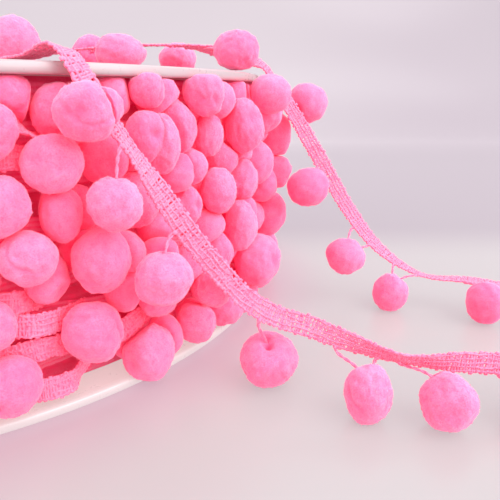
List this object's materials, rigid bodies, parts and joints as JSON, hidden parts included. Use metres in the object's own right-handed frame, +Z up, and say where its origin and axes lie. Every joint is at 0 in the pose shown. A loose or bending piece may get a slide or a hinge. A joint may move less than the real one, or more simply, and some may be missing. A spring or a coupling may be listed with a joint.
{
  "type": "pompom fringe trim wound on a plain reel",
  "caption": "Pompom ball fringe trim: a narrow woven tape with yarn balls on its lower edge, wound on a flanged reel, with a loose length draped over it.",
  "frame": {"origin": "centre of the lower flange's underside, on the reel's axis", "axes": "+Z up along the reel's axis, +X along the side that the loose ends run out to, +Y completes the right hand"},
  "size_m": [0.3198, 0.234, 0.0831],
  "materials": {
    "reel_plastic": "smooth white moulded plastic with a soft gloss",
    "trim_tape": "narrow knitted and woven tape of pink yarn with a slight sheen",
    "pompom_yarn": "velvety cut pile of pink yarn"
  },
  "bodies": {
    "root": {"reel_bottom_flange": "reel_plastic", "reel_top_flange": "reel_plastic", "wound_trim": "pompom_yarn", "loose_band": "trim_tape", "fringe_front_floor": "pompom_yarn", "fringe_front_fall": "pompom_yarn", "fringe_top": "pompom_yarn", "fringe_back_fall": "pompom_yarn", "fringe_back_floor": "pompom_yarn"}
  },
  "joints": []
}
